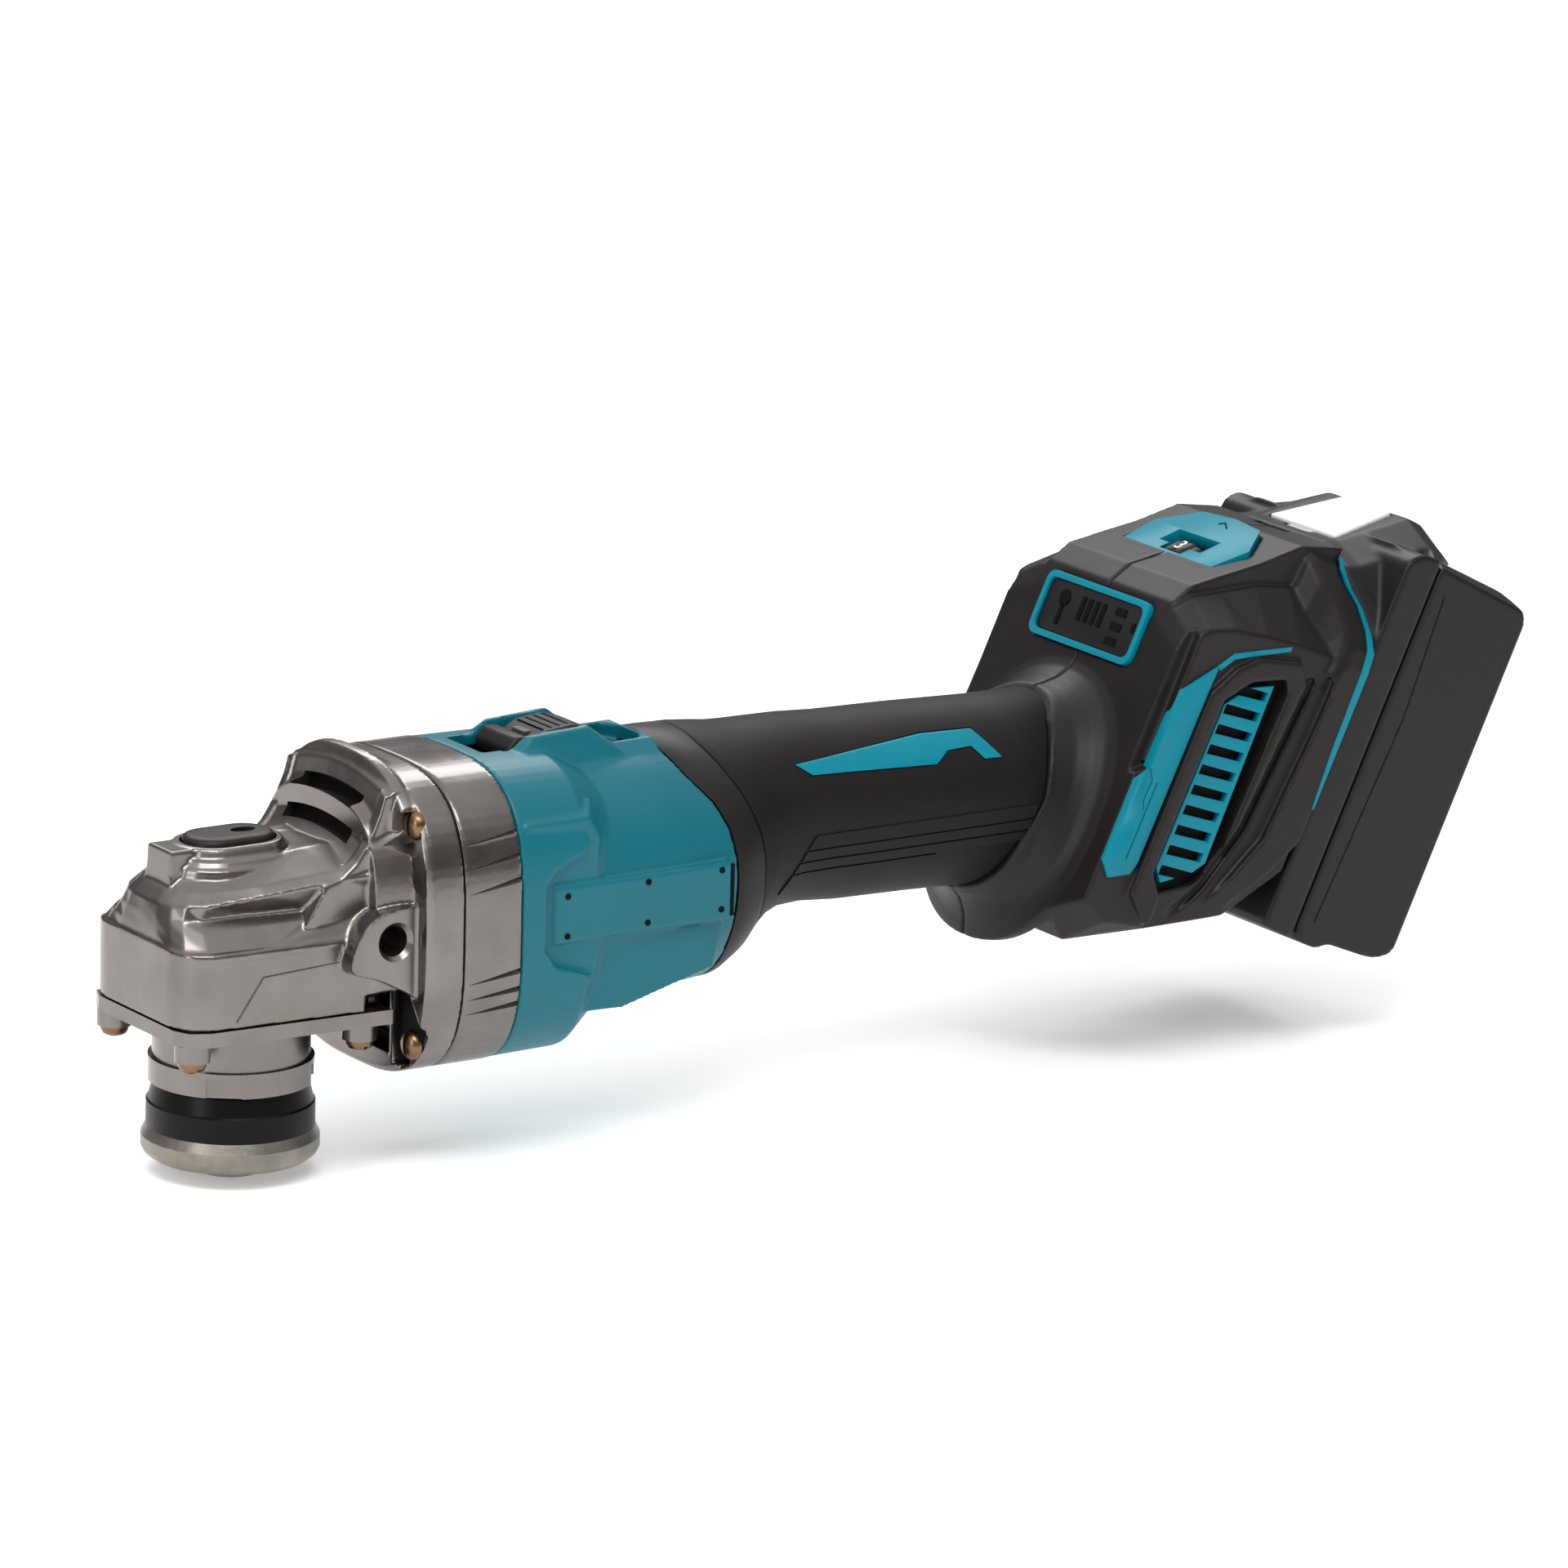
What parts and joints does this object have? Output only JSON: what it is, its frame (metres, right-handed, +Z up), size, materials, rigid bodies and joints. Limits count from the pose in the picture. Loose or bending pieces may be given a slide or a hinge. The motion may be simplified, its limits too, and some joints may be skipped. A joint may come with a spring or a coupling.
{
  "type": "angle grinder",
  "caption": "Cordless angle grinder: bare gear head with spindle, slim grip with slide switch, and a slide-on battery pack at the rear.",
  "frame": {"origin": "centre of the spindle's lower end face", "axes": "+X from the gear head to the battery, +Z up along the spindle, +Y to the tool's right side"},
  "size_m": [0.3529, 0.0788, 0.1203],
  "materials": {
    "spindle_steel": "ground steel",
    "gear_steel": "case-hardened gear steel",
    "bearing_steel": "polished bearing steel",
    "nut_black": "black oxide steel",
    "zinc_steel": "zinc-coated steel",
    "zinc_screw": "yellow-passivated zinc screws",
    "cast_alloy": "die-cast aluminium gear head",
    "ring_alloy": "die-cast aluminium ring",
    "seal_rubber": "nitrile rubber",
    "bush_bronze": "sintered bronze",
    "cap_black": "black nylon",
    "spring_steel": "spring wire",
    "lamination": "electrical steel laminations",
    "copper": "enamelled copper windings",
    "fan_nylon": "moulded nylon",
    "board_green": "circuit board",
    "teal_plastic": "teal moulded nylon",
    "black_plastic": "dark grey moulded nylon",
    "grip_rubber": "overmoulded grip rubber",
    "lead_pvc": "insulated leads",
    "panel_dark": "smoked panel",
    "dial_grey": "dial",
    "button_pale": "pale release button",
    "cell_wrap": "cell sleeve",
    "contact_brass": "contact metal"
  },
  "bodies": {
    "tool": {"dust_seal": "seal_rubber", "bearing_box": "cast_alloy", "bearing_box_screws": "zinc_screw", "gear_housing": "cast_alloy", "gear_housing_screws": "zinc_screw", "needle_bush": "bush_bronze", "fan_baffle": "fan_nylon", "bearing_carrier": "ring_alloy", "stator_core": "lamination", "stator_windings": "copper", "hall_board": "board_green", "rear_bearing_sleeve": "seal_rubber", "motor_leads": "lead_pvc", "motor_housing": "teal_plastic", "microswitch": "black_plastic", "collar_band": "black_plastic", "grip_sleeve": "grip_rubber", "grip_inlays": "teal_plastic", "handle_left": "black_plastic", "handle_right": "black_plastic", "handle_screws": "zinc_screw", "dial_pad": "teal_plastic", "status_bezel": "teal_plastic", "status_panel": "panel_dark", "vent_grilles": "teal_plastic", "side_trims": "teal_plastic", "rear_trims": "teal_plastic", "controller_module": "ring_alloy", "terminal_block": "contact_brass", "spindle_bearing_outer": "bearing_steel", "spindle_bearing_balls": "bearing_steel", "front_bearing_outer": "bearing_steel", "rear_bearing_outer": "bearing_steel", "rotor_bearing_balls": "bearing_steel"},
    "spindle_assembly": {"spindle": "spindle_steel", "ring_gear": "gear_steel", "spindle_circlip": "spring_steel", "inner_flange": "nut_black", "spindle_bearing_inner": "bearing_steel"},
    "lock_nut": {"lock_nut": "zinc_steel"},
    "rotor": {"pinion": "gear_steel", "rotor_shaft": "spindle_steel", "rotor_core": "lamination", "fan": "fan_nylon", "front_bearing_inner": "bearing_steel", "rear_bearing_inner": "bearing_steel"},
    "shaft_lock": {"shaft_lock_cap": "cap_black", "shaft_lock_pin": "spindle_steel", "shaft_lock_spring": "spring_steel"},
    "switch_slide": {"switch_knob": "black_plastic", "switch_rod": "black_plastic", "switch_spring": "spring_steel"},
    "speed_dial": {"speed_dial": "dial_grey"},
    "battery": {"battery_upper_case": "black_plastic", "battery_lower_case": "black_plastic", "battery_cells": "cell_wrap", "battery_board": "contact_brass"},
    "battery_latch": {"battery_release_button": "button_pale", "latch_spring": "spring_steel"}
  },
  "joints": [
    {"name": "spindle_spin", "type": "hinge", "parent": "tool", "child": "spindle_assembly", "pos_m": [0, 0, 0.03], "axis": [0, 0, 1], "continuous": true},
    {"name": "rotor_spin", "type": "hinge", "parent": "tool", "child": "rotor", "pos_m": [0.05, 0, 0.056], "axis": [1, 0, 0], "continuous": true},
    {"name": "lock_nut_off", "type": "slide", "parent": "spindle_assembly", "child": "lock_nut", "axis": [0, 0, -1], "range_m": [0, 0.025]},
    {"name": "shaft_lock_press", "type": "slide", "parent": "tool", "child": "shaft_lock", "axis": [0, 0, -1], "range_m": [0, 0.004], "stiffness_N_per_m": 800, "springref_m": -0.003, "deforming": ["shaft_lock_spring"]},
    {"name": "switch_slide", "type": "slide", "parent": "tool", "child": "switch_slide", "axis": [-1, 0, 0], "range_m": [0, 0.0065], "stiffness_N_per_m": 600, "springref_m": -0.004, "deforming": ["switch_spring"]},
    {"name": "dial_turn", "type": "hinge", "parent": "tool", "child": "speed_dial", "pos_m": [0.258, 0, 0.1052], "axis": [0.9598, 0, 0.2807], "range_deg": [-135, 135]},
    {"name": "battery_slide", "type": "slide", "parent": "tool", "child": "battery", "axis": [0.4195, 0, 0.9078], "range_m": [0, 0.078]},
    {"name": "battery_release", "type": "slide", "parent": "battery", "child": "battery_latch", "axis": [0.1584, 0, -0.9874], "range_m": [0, 0.004], "stiffness_N_per_m": 900, "springref_m": -0.003, "deforming": ["latch_spring"]}
  ],
  "couplings": [
    {"joint": "rotor_spin", "follows": "spindle_spin", "ratio": 3.2727}
  ]
}
